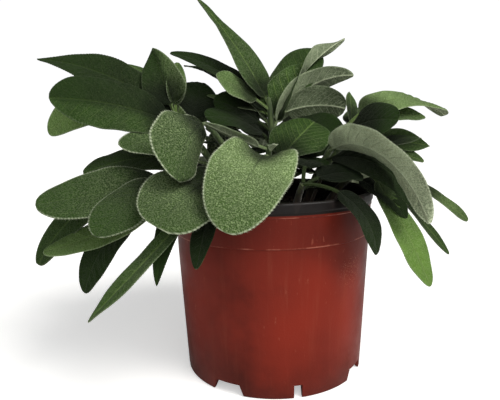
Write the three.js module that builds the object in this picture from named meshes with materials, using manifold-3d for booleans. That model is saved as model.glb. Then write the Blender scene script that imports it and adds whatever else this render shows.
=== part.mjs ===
// Potted sage in a two-tone nursery pot. Millimetres, +Z up, with the side that faces the viewer
// towards -Y. Everything is laid out from the pot's axis, and the finished plant is then moved so that
// the origin is the middle of its whole outline, on the table.
import * as THREE from 'three';
import { mergeVertices } from 'three/addons/utils/BufferGeometryUtils.js';
import Module from 'manifold-3d';

const { clamp, degToRad, lerp, mapLinear } = THREE.MathUtils;
const wasm = await Module();
wasm.setup();

// Pot: 130 mm across, pressed from thin sheet, with a black lip and a notched foot ring
const potHeight = 116;
const potSides = 44;
const lipRadius = 65;
const lipHeight = 6;
const lipRound = 1.4;
const neckRadius = 63.9;
const collarHeight = 2.4;
const collarStep = 0.4;
const bandHeight = 26;
const bandStep = 0.4;
const footRadius = 57.8;
const footRingHeight = 9;
const footEdge = 1;
const wallThickness = 1.4;
const floorThickness = 1.6;
const floorRound = 2;

// Notches in the foot ring, one wide arch and one narrow slot in each quarter, and drain holes
const quarters = 4;
const archTurn = -31;
const archTopWidth = 16;
const archFootWidth = 23;
const archHeight = 6.8;
const slotTurn = 11.5;
const slotWidth = 5;
const slotHeight = 8;
const drainRadius = 5;
const drainCircle = 36;
const drainSides = 16;
const cutOverrun = 2;

// Soil, with a plain hole for each stem
const soilLevel = 102;
const soilGap = 0.4;
const stemHoleGap = 0.4;

// Stems
const rootDepth = 26;
const crownLift = 2;
const crownOverlap = 0.8;
const stemFootRadius = 2.5;
const stemTipRadius = 1.5;
const stemSides = 7;
const stemSteps = 5;
const stemLean = 0.35;
const stemRise = 0.6;

// Leaves
const ribSteps = 24;
const bladeShares = [0, 0.14, 0.38, 0.62, 0.86, 1];
const bladeThickness = 0.8;
const petioleThickness = 1.9;
const petioleWidth = 2.4;
const tipWidth = 1.4;
const broadLeaf = 36;
const bluntFullness = 2.4;
const acuteFullness = 1.3;
const bluntClosing = 0.5;
const acuteClosing = 0.95;
const waveHeight = 0.03;
const waveTurn = 9;
const waveLean = 2;
const wavePhase = 2.4;
const lobePeak = 27 / 4; // brings a lobe to its full length at its peak
const lobeLift = 0.3;

// How each kind of leaf is cut. fold lifts both halves of the blade from the midrib and curl turns
// its edges down as a share of the width. stalk is the bare petiole in mm. point runs from a blunt
// tip at 0 to a long acute one at 1.2, and widest is where along the blade it is widest. late holds
// the leaf's twist back towards its tip. lobe is how far a heart-shaped base reaches back beside the
// stalk, in mm.
const leafKinds = {
  heart: { fold: 20, curl: 0.22, stalk: 22, point: 0.15, widest: 0.36, late: 1, lobe: 15 },
  hood: { fold: -22, curl: 0.1, stalk: 10, point: 0.1, widest: 0.42, late: 1 },
  shield: { fold: 8, curl: 0.12, stalk: 8, point: 0.05, widest: 0.4, late: 1, lobe: 4 },
  oval: { fold: 10, curl: 0.15, stalk: 12, point: 0.1, widest: 0.46, late: 1 },
  strap: { fold: 7, curl: 0.1, stalk: 14, point: 0, widest: 0.5, late: 1 },
  keel: { fold: 30, curl: 0.08, stalk: 8, point: 0.6, widest: 0.2, late: 1 },
  furl: { fold: 42, curl: 0.06, stalk: 6, point: 0.9, widest: 0.15, late: 2.5 },
  spear: { fold: 14, curl: 0.06, stalk: 6, point: 1, widest: 0.2, late: 1 },
  wand: { fold: 10, curl: 0.05, stalk: 20, point: 0.7, widest: 0.65, late: 1 },
  dart: { fold: 14, curl: 0.08, stalk: 12, point: 1, widest: 0.55, late: 1 },
  paddle: { fold: 8, curl: 0.08, stalk: 22, point: 0.2, widest: 0.45, late: 1 },
  slim: { fold: 12, curl: 0.06, stalk: 8, point: 0.6, widest: 0.45, late: 1 },
  stalked: { fold: 8, curl: 0.05, stalk: 60, point: 0.1, widest: 0.6, late: 1 },
  young: { fold: 24, curl: 0.04, stalk: 3, point: 0.4, widest: 0.42, late: 1 },
};

// One entry for each leafy stem. Its foot is where it leaves the soil and its tip where it ends.
// A leaf is [place on the stem from 0 at the foot to 1 at the tip, heading, rise, droop, swing, length,
// width, roll, twist, kind], with lengths in mm and angles in degrees. Heading 0 is +X and 90 is +Y,
// rise is how steeply the petiole climbs, droop is what the leaf bends down by its tip and swing what
// it turns to its left, roll lifts its left edge and twist is what the roll gains by the tip.
const stems = {
  sage_front: {
    foot: [0, -12],
    tip: [-3, -24, 146],
    leaves: [
      [0.75, 262, 15, 70, -20, 92, 46, -5, -25, 'heart'],
      [0.56, 30, 45, 20, 22, 51, 40, 16, 8, 'oval'],
      [0.9, 210, 19, -5, 0, 46, 13, 20, -10, 'slim'],
      [0.85, 300, 40, 20, 0, 10, 6, 0, 0, 'young'],
      [0.5, 5, 32, 50, 0, 39, 24, 15, 0, 'oval'],
      [0.45, 240, 30, 50, 0, 36, 22, 0, 0, 'oval'],
    ],
  },
  sage_middle: {
    foot: [4, 10],
    tip: [-1, 12, 176],
    leaves: [
      [0.9, 161, 64, 17, 0, 89, 26, -25, 0, 'spear'],
      [0.66, 22, 68, 42, 0, 85, 33, 34, -185, 'furl'],
      [0.7, 40, 68, 38, 0, 70, 33, 20, 10, 'oval'],
      [0.62, 14, 69, 72, -4, 74, 25, -48, 0, 'slim'],
      [0.85, 198, 38, 14, 5, 43, 23, -45, 0, 'oval'],
      [0.76, 6, 29, 45, 0, 53, 28, -62, 0, 'oval'],
      [0.75, 168, 56, 45, -5, 87, 24, -25, 0, 'slim'],
      [0.65, 156, 62, 55, 0, 84, 17, -15, 0, 'slim'],
      [0.5, 205, 52, 60, 0, 54, 30, -30, 0, 'oval'],
      [0.62, 184, 45, 30, 0, 45, 28, -45, 0, 'oval'],
      [0.8, 168, 24, 12, 0, 46, 14, -30, 0, 'slim'],
      [0.45, 120, 45, 50, 0, 66, 30, 0, 0, 'oval'],
      [0.3, 14, 40, 45, 0, 34, 26, 20, 0, 'oval'],
      [0.3, 205, 30, 40, 0, 32, 24, -20, 0, 'oval'],
      [0.35, 60, 35, 50, 0, 62, 30, 10, 0, 'oval'],
      [0.42, 355, 38, 45, 0, 50, 34, 60, 0, 'oval'],
    ],
  },
  sage_near_left: {
    foot: [-12, -8],
    tip: [-40, -28, 159.5],
    leaves: [
      [0.97, 256, 6, 70, 0, 61, 39, -62, -4, 'hood'],
      [0.7, 60, 30, 60, 0, 36, 22, 0, 0, 'oval'],
    ],
  },
  sage_left: {
    foot: [-26, 4],
    tip: [-62, -2, 164],
    leaves: [
      [0.8, 80, 55, 20, 0, 48, 30, 20, 0, 'oval'],
      [0.85, 206, 25, 25, 5, 84, 39, -53, -5, 'oval'],
      [0.82, 176, 47, 42, 0, 110, 29, -45, 0, 'dart'],
      [1, 140, 72, 14, -8, 49, 33, -45, -25, 'keel'],
      [0.6, 180, 60, 108, -10, 121, 27, -65, -20, 'strap'],
      [0.9, 146, 66, 54, 0, 68, 12, -18, 0, 'slim'],
      [0.98, 91, 81, 43, 0, 44, 14, 20, 0, 'slim'],
      [0.55, 222, 21, 30, 5, 63, 23, -25, -15, 'strap'],
      [0.4, 198, 22, 46, 0, 84, 34, -28, 5, 'oval'],
      [0.3, 258, 21, 103, -21, 112, 16, -30, 0, 'slim'],
    ],
  },
  sage_outer_left: {
    foot: [-34, -14],
    tip: [-58, -30, 130],
    leaves: [
      [1, 201, -14, -8, -5, 80, 35, -48, 10, 'oval'],
      [0.95, 234, -7, 32, 0, 68, 32, -10, -10, 'oval'],
      [0.8, 196, -38, -27, -5, 94, 22, -32, 0, 'strap'],
      [0.9, 186, 1, 63, -12, 110, 20, -48, -20, 'strap'],
      [0.65, 186, -9, 67, 12, 99, 27, -23, -15, 'strap'],
    ],
  },
  sage_front_left: {
    foot: [-24, -28],
    tip: [-36, -45, 125],
    leaves: [
      [1, 247, 4, 42, -8, 55, 46, -25, 4, 'shield'],
      [1, 240, -33, 12, -46, 100, 14, -15, 0, 'wand'],
      [0.85, 266, -14, 46, -13, 60, 14, 10, 10, 'paddle'],
    ],
  },
  sage_right: {
    foot: [22, 0],
    tip: [50, -8, 158],
    leaves: [
      [0.95, 11, 47, 85, 5, 77, 31, 50, -50, 'oval'],
      [0.8, 330, 40, 50, 0, 40, 28, 50, 0, 'oval'],
      [0.8, 358, 35, 47, 0, 57, 26, 22, 3, 'slim'],
      [0.6, 287, 28, 100, 28, 102, 31, -22, -57, 'slim'],
      [0.5, 312, 20, 85, 0, 84, 28, 30, -10, 'slim'],
      [0.35, 228, 25, 50, 0, 34, 20, 0, 0, 'oval'],
      [0.3, 305, 24, 40, 0, 22, 18, 20, 0, 'oval'],
    ],
  },
  sage_outer_right: {
    foot: [34, -8],
    tip: [62, -14, 134],
    leaves: [
      [0.9, 302, -42, 20, 0, 84, 22, 5, -10, 'strap'],
      [1, 20, 50, 60, 0, 40, 20, 10, 0, 'oval'],
      [0.6, 320, -6, 50, 0, 46, 22, 10, 0, 'slim'],
    ],
  },
  sage_front_right: {
    foot: [12, -34],
    tip: [16, -44, 124],
    leaves: [
      [0.95, 330, 8, 98, 8, 64, 21, 15, 0, 'paddle'],
      [0.7, 60, 15, 40, 0, 34, 20, 10, 0, 'oval'],
      [0.85, 20, 32, 50, 0, 42, 24, 20, 0, 'oval'],
      [1, 78, 62, 70, 0, 27, 22, 10, 0, 'oval'],
    ],
  },
  sage_back_right: {
    foot: [28, 22],
    tip: [58, 26, 150],
    leaves: [
      [0.9, 348, 2, 15, 0, 56, 28, 25, 8, 'slim'],
      [0.75, 337, 6, 30, 0, 58, 24, 28, 0, 'slim'],
      [0.85, 348, -24, 18, 0, 100, 12, 27, 5, 'stalked'],
      [0.8, 331, -36, 16, 0, 102, 9, 20, 0, 'stalked'],
      [1, 85, 72, 30, 0, 36, 13, 45, 0, 'slim'],
      [0.95, 60, 45, 55, 0, 64, 28, 0, 0, 'oval'],
      [0.7, 80, 10, 55, 0, 68, 26, 0, 0, 'slim'],
      [0.9, 120, 50, 50, 0, 36, 20, 0, 0, 'oval'],
      [0.6, 30, 15, 50, 0, 62, 26, 0, 0, 'oval'],
    ],
  },
  sage_back: {
    foot: [2, 34],
    tip: [4, 54, 156],
    leaves: [
      [1, 80, 60, 50, 0, 62, 28, 0, 0, 'oval'],
      [0.95, 135, 45, 60, 10, 68, 30, 10, 0, 'oval'],
      [0.9, 20, 45, 50, 10, 56, 28, 0, 0, 'oval'],
      [0.75, 95, 20, 55, 0, 78, 32, 0, 0, 'oval'],
      [0.6, 58, 15, 60, 0, 62, 28, 0, 0, 'slim'],
      [0.6, 135, 10, 50, 0, 52, 26, 0, 0, 'slim'],
      [0.6, 235, 20, 40, 0, 30, 22, 0, 0, 'oval'],
    ],
  },
  sage_back_left: {
    foot: [-22, 24],
    tip: [-46, 42, 150],
    leaves: [
      [1, 120, 60, 45, 0, 56, 26, 0, 0, 'oval'],
      [0.95, 172, 40, 55, -10, 74, 30, -10, 0, 'oval'],
      [0.9, 70, 35, 50, 0, 52, 28, 0, 0, 'oval'],
      [0.7, 150, 15, 55, 0, 84, 32, 0, 0, 'oval'],
      [0.6, 110, 5, 50, 0, 70, 26, 0, 0, 'slim'],
      [0.5, 190, 10, 55, 0, 70, 28, 0, 0, 'oval'],
      [0.7, 270, 40, 50, 0, 30, 22, 0, 0, 'oval'],
      [0.3, 246, 74, -10, 0, 38, 30, 8, 0, 'oval'],
    ],
  },
  sage_rear: {
    foot: [-6, 46],
    tip: [-12, 66, 126],
    leaves: [
      [1, 95, 10, 60, 0, 70, 32, 0, 0, 'oval'],
      [0.9, 50, 0, 55, 0, 66, 28, 0, 0, 'strap'],
      [0.85, 140, 0, 55, 0, 70, 28, 0, 0, 'strap'],
      [0.95, 15, 16, 50, 0, 52, 24, 0, 0, 'oval'],
    ],
  },
  sage_far_right: {
    foot: [42, 16],
    tip: [68, 34, 126],
    leaves: [
      [1, 60, 0, 55, 0, 66, 28, 0, 0, 'oval'],
      [0.85, 85, -5, 50, 0, 60, 24, 0, 0, 'slim'],
      [0.95, 20, 10, 60, 0, 56, 24, 0, 0, 'oval'],
      [0.8, 130, 30, 50, 0, 44, 22, 0, 0, 'oval'],
    ],
  },
};

const sageGreen = new THREE.MeshStandardMaterial({ color: 0x5f7a52, roughness: 0.85, metalness: 0 });
const pottingSoil = new THREE.MeshStandardMaterial({ color: 0x2c231c, roughness: 0.95, metalness: 0 });
const redPlastic = new THREE.MeshStandardMaterial({ color: 0x8f3b2b, roughness: 0.45, metalness: 0 });

// Closed three.js geometry to a manifold solid and back
function toSolid(geometry) {
  geometry.deleteAttribute('normal');
  geometry.deleteAttribute('uv');
  const welded = mergeVertices(geometry, 1e-4);
  return new wasm.Manifold(new wasm.Mesh({
    numProp: 3,
    vertProperties: Float32Array.from(welded.attributes.position.array),
    triVerts: Uint32Array.from(welded.index.array),
  }));
}

function toMesh(name, solid, material) {
  const { vertProperties, triVerts } = solid.getMesh();
  const geometry = new THREE.BufferGeometry();
  geometry.setAttribute('position', new THREE.BufferAttribute(Float32Array.from(vertProperties), 3));
  geometry.setIndex(new THREE.BufferAttribute(Uint32Array.from(triVerts), 1));
  geometry.computeVertexNormals();
  const mesh = new THREE.Mesh(geometry, material);
  mesh.name = name;
  return mesh;
}

// A lathe turns its profile about Y, so the turned shape is stood up on +Z
function turned(profile) {
  const points = profile.map(([radius, height]) => new THREE.Vector2(radius, height));
  return toSolid(new THREE.LatheGeometry(points, potSides).rotateX(Math.PI / 2));
}

// Outer radius of the tapered wall
function wallRadius(height) {
  return mapLinear(height, 0, potHeight - lipHeight, footRadius, neckRadius);
}

// From the underside of the floor, down and up the foot ring, and up the wall to the lip
function potOutside() {
  const neck = potHeight - lipHeight;
  const collar = neck - collarHeight;
  const band = potHeight - bandHeight;
  const innerFoot = footRadius - wallThickness;
  return [
    [innerFoot - 2 * wallThickness, footRingHeight],
    [innerFoot - footEdge, footEdge],
    [innerFoot, 0],
    [footRadius - footEdge / 2, 0],
    [footRadius, footEdge],
    [wallRadius(footRingHeight), footRingHeight],
    [wallRadius(band) - bandStep, band - bandStep],
    [wallRadius(band), band],
    [wallRadius(collar), collar - collarStep],
    [wallRadius(collar) + collarStep, collar],
    [neckRadius + collarStep, neck],
    [lipRadius, neck + lipRound],
    [lipRadius, potHeight - lipRound],
    [lipRadius - lipRound, potHeight],
  ];
}

// From the lip down the inside of the wall to the floor
function potInside(floorTop) {
  const inner = (height) => wallRadius(height) - wallThickness;
  return [
    [inner(potHeight - lipHeight), potHeight - lipRound],
    [inner(potHeight - lipHeight), potHeight - lipHeight],
    [inner(floorTop), floorTop + floorRound],
    [inner(floorTop) - floorRound, floorTop],
  ];
}

// A cutter for one notch of the foot ring, which it passes through from the outside
function notchCutter(topWidth, footWidth, height, turn) {
  const outline = new THREE.Shape([
    new THREE.Vector2(-footWidth / 2, -cutOverrun),
    new THREE.Vector2(footWidth / 2, -cutOverrun),
    new THREE.Vector2(topWidth / 2, height),
    new THREE.Vector2(-topWidth / 2, height),
  ]);
  const reach = 6 * wallThickness + 2 * cutOverrun;
  const cutter = new THREE.ExtrudeGeometry(outline, { depth: reach, bevelEnabled: false });
  cutter.rotateX(Math.PI / 2);
  cutter.translate(0, reach - footRadius - cutOverrun, 0);
  cutter.rotateZ(degToRad(turn));
  return toSolid(cutter);
}

function drainCutter(turn) {
  const height = 2 * footRingHeight;
  const cutter = new THREE.CylinderGeometry(drainRadius, drainRadius, height, drainSides);
  cutter.rotateX(Math.PI / 2);
  cutter.translate(drainCircle, 0, footRingHeight);
  cutter.rotateZ(degToRad(turn));
  return toSolid(cutter);
}

function makePot() {
  const floorTop = footRingHeight + floorThickness;
  let pot = turned([[0, footRingHeight], ...potOutside(), ...potInside(floorTop), [0, floorTop]]);
  for (let quarter = 0; quarter < quarters; quarter += 1) {
    const turn = quarter * 360 / quarters;
    pot = pot.subtract(notchCutter(archTopWidth, archFootWidth, archHeight, archTurn + turn));
    pot = pot.subtract(notchCutter(slotWidth, slotWidth, slotHeight, slotTurn + turn));
    pot = pot.subtract(drainCutter(turn));
  }
  return pot;
}

// Soil fills the pot from its floor, a small gap clear of it all round
function makeSoil() {
  const foot = footRingHeight + floorThickness + soilGap;
  const edge = (height) => wallRadius(height) - wallThickness - soilGap;
  let soil = turned([
    [0, foot],
    [edge(foot) - floorRound, foot],
    [edge(foot), foot + floorRound],
    [edge(soilLevel), soilLevel],
    [0, soilLevel],
  ]);
  for (const stem of Object.values(stems)) {
    soil = soil.subtract(rootSolid(stem, stemFootRadius + stemHoleGap, rootDepth + stemHoleGap));
  }
  return soil;
}

// A stem leaves its root upright and leans out to its tip
function stemCurve({ foot, tip }) {
  const crown = soilLevel + crownLift;
  const bend = new THREE.Vector3(
    lerp(foot[0], tip[0], stemLean),
    lerp(foot[1], tip[1], stemLean),
    lerp(crown, tip[2], stemRise),
  );
  const start = new THREE.Vector3(...foot, crown);
  return new THREE.QuadraticBezierCurve3(start, bend, new THREE.Vector3(...tip));
}

// A straight tapered cylinder bent so that its axis follows the stem's curve
function stemSolid(curve) {
  const geometry = new THREE.CylinderGeometry(stemTipRadius, stemFootRadius, 1, stemSides, stemSteps);
  const position = geometry.attributes.position;
  for (let i = 0; i < position.count; i += 1) {
    const along = clamp(position.getY(i) + 0.5, 0, 1);
    const ahead = curve.getTangent(along);
    const front = new THREE.Vector3(0, 1, 0).cross(ahead).normalize();
    const side = ahead.cross(front);
    const point = curve.getPoint(along);
    point.addScaledVector(side, position.getX(i));
    point.addScaledVector(front, position.getZ(i));
    position.setXYZ(i, point.x, point.y, point.z);
  }
  return toSolid(geometry);
}

// The straight part of a stem below its crown, also used larger as the hole that it stands in
function rootSolid({ foot }, radius, depth) {
  const top = soilLevel + crownLift + crownOverlap;
  const height = top - soilLevel + depth;
  const root = new THREE.CylinderGeometry(radius, radius, height, stemSides);
  root.rotateX(Math.PI / 2);
  root.translate(...foot, top - height / 2);
  return toSolid(root);
}

// Half the width of the blade, as a share of its widest, at a share of its length: a quarter ellipse up
// to the widest place, and past it full sides to a blunt tip or straighter ones to an acute tip
function bladeOutline(share, { point, widest }) {
  if (share < widest) {
    return Math.sqrt(1 - ((widest - share) / widest) ** 2);
  }
  const past = (share - widest) / (1 - widest);
  const fullness = lerp(bluntFullness, acuteFullness, point);
  const closing = lerp(bluntClosing, acuteClosing, point);
  return (1 - past ** fullness) ** closing;
}

// How far the base is drawn back at a share of the blade's length: nothing at the stalk and from the
// widest place on, and all of the lobe at a third of the way between them
function lobeShare(share, { widest }) {
  const near = clamp(share / widest, 0, 1);
  return lobePeak * near * (1 - near) ** 2;
}

// The leaf's own directions at a share of its length: ahead, to its left side, and out of its face
function leafFrame({ heading, rise, droop, swing, roll, twist, late }, along) {
  const yaw = degToRad(heading + swing * along);
  const pitch = degToRad(rise - droop * along);
  const level = Math.cos(pitch);
  const ahead = new THREE.Vector3(level * Math.cos(yaw), level * Math.sin(yaw), Math.sin(pitch));
  const side = new THREE.Vector3(-Math.sin(yaw), Math.cos(yaw), 0);
  side.applyAxisAngle(ahead, degToRad(roll + twist * along ** late));
  const face = new THREE.Vector3().crossVectors(ahead, side);
  return { ahead, side, face };
}

// The midrib grows from the stem in short straight steps
function midrib(leaf, root) {
  const points = [root];
  for (let step = 0; step < ribSteps; step += 1) {
    const { ahead } = leafFrame(leaf, (step + 0.5) / ribSteps);
    points.push(points[step].clone().addScaledVector(ahead, leaf.length / ribSteps));
  }
  return new THREE.CatmullRomCurve3(points);
}

// A leaf as a thin closed sheet with two rows of points on the bare petiole and the others on the
// blade, where it is folded up from the midrib, curled at the edges and lightly waved
function leafSolid(leaf, root, number) {
  const rib = midrib(leaf, root);
  const stalk = leaf.stalk / leaf.length;
  const fold = Math.sin(degToRad(leaf.fold));
  const spread = Math.cos(degToRad(leaf.fold));
  const columns = leaf.width < broadLeaf ? 2 : 4;
  const upper = [];
  const lower = [];
  const addRow = (along, share, thickness) => {
    const { ahead, side, face } = leafFrame(leaf, along);
    const centre = rib.getPoint(along);
    const lobe = (leaf.lobe ?? 0) * lobeShare(share, leaf);
    const least = share < 1 ? petioleWidth : tipWidth;
    const half = Math.max(leaf.width * bladeOutline(share, leaf), least) / 2;
    for (let column = 0; column <= columns; column += 1) {
      const across = 2 * column / columns - 1;
      const sine = Math.sin(waveTurn * share + waveLean * across + wavePhase * number);
      const bend = half * (fold * Math.abs(across) - leaf.curl * across ** 2);
      const lift = share > 0 ? bend + waveHeight * leaf.width * sine * across ** 2 : 0;
      const point = centre.clone().addScaledVector(side, half * across * spread);
      point.addScaledVector(face, lift + lobeLift * lobe * across ** 2);
      point.addScaledVector(ahead, -lobe * across ** 2);
      upper.push(point.clone().addScaledVector(face, thickness / 2));
      lower.push(point.addScaledVector(face, -thickness / 2));
    }
  };
  addRow(0, 0, petioleThickness);
  for (const share of bladeShares) {
    addRow(lerp(stalk, 1, share), share, share > 0 ? bladeThickness : petioleThickness);
  }
  return toSolid(sheetGeometry(upper, lower, bladeShares.length + 1, columns + 1));
}

// Two like grids of points, rows from root to tip and columns from right to left, closed at the edges
function sheetGeometry(upper, lower, rows, columns) {
  const index = [];
  const under = upper.length;
  const quad = (a, b, c, d) => index.push(a, b, c, a, c, d);
  for (let row = 0; row < rows - 1; row += 1) {
    for (let column = 0; column < columns - 1; column += 1) {
      const a = row * columns + column;
      const [b, c, d] = [a + columns, a + columns + 1, a + 1];
      index.push(a, b, c, a, c, d);
      index.push(under + a, under + c, under + b, under + a, under + d, under + c);
    }
    const right = row * columns;
    const left = right + columns - 1;
    quad(right, under + right, under + right + columns, right + columns);
    quad(left, left + columns, under + left + columns, under + left);
  }
  for (let near = 0; near < columns - 1; near += 1) {
    const far = (rows - 1) * columns + near;
    quad(near, near + 1, under + near + 1, under + near);
    quad(far, under + far, under + far + 1, far + 1);
  }
  const geometry = new THREE.BufferGeometry();
  const places = [...upper, ...lower].flatMap((point) => point.toArray());
  geometry.setAttribute('position', new THREE.Float32BufferAttribute(places, 3));
  geometry.setIndex(index);
  return geometry;
}

// A stem with its root and leaves, joined into one solid. Any small hollow that the crossing leaves
// seal is filled, because only the largest closed surface is kept.
function leafyStem(stem) {
  const curve = stemCurve(stem);
  const pieces = [stemSolid(curve), rootSolid(stem, stemFootRadius, rootDepth)];
  stem.leaves.forEach((row, number) => {
    const [place, heading, rise, droop, swing, length, width, roll, twist, kind] = row;
    const leaf = { heading, rise, droop, swing, length, width, roll, twist, ...leafKinds[kind] };
    pieces.push(leafSolid(leaf, curve.getPoint(place), number));
  });
  const surfaces = wasm.Manifold.union(pieces).decompose();
  return surfaces.reduce((largest, surface) => (surface.volume() > largest.volume() ? surface : largest));
}

const plant = new THREE.Group();
plant.add(toMesh('pot', makePot(), redPlastic));
plant.add(toMesh('soil', makeSoil(), pottingSoil));
for (const [name, stem] of Object.entries(stems)) {
  plant.add(toMesh(name, leafyStem(stem), sageGreen));
}

const middle = new THREE.Box3().setFromObject(plant).getCenter(new THREE.Vector3());
plant.position.set(-middle.x, -middle.y, 0);

const pottedSage = new THREE.Group();
pottedSage.add(plant);

export default pottedSage;
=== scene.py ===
# Potted sage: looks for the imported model, in metres, on the table at z = 0.
# Lengths in the tables are in mm and measured from the pot's axis, as in the CAD.
import math
import random
from functools import partial

import bmesh
import bpy
from mathutils import Matrix, Quaternion, Vector, noise


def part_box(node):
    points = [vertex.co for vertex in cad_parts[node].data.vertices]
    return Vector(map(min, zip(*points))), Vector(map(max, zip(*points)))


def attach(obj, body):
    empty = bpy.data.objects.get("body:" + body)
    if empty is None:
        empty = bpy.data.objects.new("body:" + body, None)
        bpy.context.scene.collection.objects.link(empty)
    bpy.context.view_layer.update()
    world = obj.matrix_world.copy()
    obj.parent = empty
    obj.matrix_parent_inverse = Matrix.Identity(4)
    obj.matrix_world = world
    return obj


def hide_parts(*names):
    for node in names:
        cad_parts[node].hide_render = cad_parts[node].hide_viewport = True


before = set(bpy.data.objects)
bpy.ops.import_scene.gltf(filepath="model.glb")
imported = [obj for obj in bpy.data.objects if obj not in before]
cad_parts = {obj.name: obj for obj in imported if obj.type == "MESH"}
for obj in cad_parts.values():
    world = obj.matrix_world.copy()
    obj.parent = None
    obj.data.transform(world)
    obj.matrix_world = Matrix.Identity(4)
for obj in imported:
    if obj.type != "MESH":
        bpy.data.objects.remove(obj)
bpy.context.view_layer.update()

scene = bpy.context.scene
mm = 0.001
potLow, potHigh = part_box("pot")
potAxis = Vector(((potLow.x + potHigh.x) / 2, (potLow.y + potHigh.y) / 2, 0))
detail = 1  # thinner meshes for a first look


def metres(point):
    return potAxis + Vector(point) * mm


def paint(red, green, blue):
    # a colour as a screen shows it, made linear
    return (*[(part / 255) ** 2.2 for part in (red, green, blue)], 1)


def lerp(low, high, share):
    return low + (high - low) * share


# Camera and studio: a broad soft sun, a disc lamp in front and a white backdrop that lights softly
view = {"place": (-14.4, -327, 157.2), "down": 8.48, "roll": -1.09, "lens": 36, "sensor": 36,
        "nearest": 0.01}
studio = [  # name, kind, place in mm, size in m or spread in degrees, power, colour
    ("key", "SUN", (420, -380, 760), 32, 2.5, (1, 0.985, 0.95)),
    ("front", "AREA", (60, -620, 420), 0.5, 1.6, (1, 1, 1)),
]
lampAim = (0, 0, 110)
sky = {"colour": (0.99, 0.995, 1, 1), "cast": 0.2, "seen": 1.04}  # strength as light and in view

camData = bpy.data.cameras.new("camera")
camData.lens = view["lens"]
camData.sensor_width = view["sensor"]
camData.clip_start = view["nearest"]
cam = bpy.data.objects.new("camera", camData)
cam.matrix_world = (Matrix.Translation(metres(view["place"]))
                    @ Matrix.Rotation(math.radians(90 - view["down"]), 4, "X")
                    @ Matrix.Rotation(math.radians(view["roll"]), 4, "Z"))
scene.collection.objects.link(cam)
scene.camera = cam

for name, kind, place, size, power, colour in studio:
    lamp = bpy.data.lights.new(name, kind)
    if kind == "SUN":
        lamp.angle = math.radians(size)
    else:
        lamp.shape = "DISK"
        lamp.size = size
    lamp.energy = power
    lamp.color = colour
    lampObj = bpy.data.objects.new(name, lamp)
    lampObj.location = metres(place)
    aim = metres(lampAim) - lampObj.location
    lampObj.rotation_euler = aim.to_track_quat("-Z", "Y").to_euler()
    scene.collection.objects.link(lampObj)

world = bpy.data.worlds.new("studio")
world.use_nodes = True
backdrop = world.node_tree.nodes["Background"]
backdrop.inputs["Color"].default_value = sky["colour"]
seen = world.node_tree.nodes.new("ShaderNodeLightPath")
strength = world.node_tree.nodes.new("ShaderNodeMapRange")
strength.inputs["To Min"].default_value = sky["cast"]
strength.inputs["To Max"].default_value = sky["seen"]
world.node_tree.links.new(seen.outputs["Is Camera Ray"], strength.inputs["Value"])
world.node_tree.links.new(strength.outputs["Result"], backdrop.inputs["Strength"])
scene.world = world
scene.view_settings.view_transform = "Standard"
print("camera and studio set")


# Pot: thin pressed sheet with two ring steps, a rolled lip and a notched foot ring. Lip, neck and
# foot are radii. Collar and band say how deep the two steps lie, black how deep the black lip is.
pot = {"height": 116, "lip": 65, "lipHeight": 6, "lipRound": 1.6, "lipUnder": 1.1, "neck": 63.9,
       "collar": 2.4, "band": 26, "step": 0.4, "foot": 57.8, "ring": 9, "ringRound": 1.2,
       "edge": 0.8, "edgeRound": 0.6, "wall": 1.4, "floor": 1.6, "round": 2, "black": 7.4,
       "steps": 192, "wallRows": (14, 20, 30, 40, 50, 60, 70, 80),
       "liningRows": (106, 94, 80, 60, 40, 20)}
notches = {"arch": (-31, 23, 16, 6.8), "slot": (11.5, 5, 5, 8)}  # turn, width low and high, height
notchBlock = {"reach": 16, "inward": 4, "below": 3}
drain = {"radius": 5, "circle": 36, "depth": 12, "middle": 10, "sides": 32}


# Shader helpers
def add(tree, kind, *values, **settings):
    # a node with its settings, and its inputs filled in order; None leaves one as it is
    made = tree.nodes.new(kind)
    for key, value in settings.items():
        setattr(made, key, value)
    inputs = [socket for socket in made.inputs if socket.enabled]
    for socket, value in zip(inputs, values):
        if isinstance(value, bpy.types.NodeSocket):
            tree.links.new(value, socket)
        elif value is not None:
            socket.default_value = value
    return next(socket for socket in made.outputs if socket.enabled)


def maths(tree, operation, *values):
    return add(tree, "ShaderNodeMath", *values, operation=operation)


def product(tree, *shares):
    total = shares[0]
    for more in shares[1:]:
        total = maths(tree, "MULTIPLY", total, more)
    return total


def opposite(tree, share):
    return maths(tree, "SUBTRACT", 1.0, share)


def ramp(tree, value, low, high, start=0.0, end=1.0):
    # a smooth step of a value between two limits
    return add(tree, "ShaderNodeMapRange", value, low, high, start, end,
               interpolation_type="SMOOTHSTEP")


def blend(tree, share, low, high):
    return add(tree, "ShaderNodeMix", share, low, high, data_type="RGBA")


def coat(tree, colour, tones, layers):
    # lays tones over a colour in turn, each through its own mask
    for mask, tone in layers:
        colour = blend(tree, mask, colour, tones[tone])
    return colour


def attribute(tree, name, output="Fac"):
    made = tree.nodes.new("ShaderNodeAttribute")
    made.attribute_name = name
    return made.outputs[output]


def parts(tree, vector):
    made = tree.nodes.new("ShaderNodeSeparateXYZ")
    tree.links.new(vector, made.inputs[0])
    return made.outputs


def objectPlace(tree):
    return tree.nodes.new("ShaderNodeTexCoord").outputs["Object"]


def newGroup(name, inputs, outputs):
    group = bpy.data.node_groups.new(name, "ShaderNodeTree")
    for way, sockets in (("INPUT", inputs), ("OUTPUT", outputs)):
        for label, kind in sockets:
            group.interface.new_socket(label, in_out=way, socket_type="NodeSocket" + kind)
    ins, outs = group.nodes.new("NodeGroupInput"), group.nodes.new("NodeGroupOutput")
    return group, ins.outputs, outs.inputs


def useGroup(tree, group, **values):
    made = tree.nodes.new("ShaderNodeGroup")
    made.node_tree = group
    for key, value in values.items():
        if isinstance(value, bpy.types.NodeSocket):
            tree.links.new(value, made.inputs[key])
        else:
            made.inputs[key].default_value = value
    return made.outputs


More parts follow.
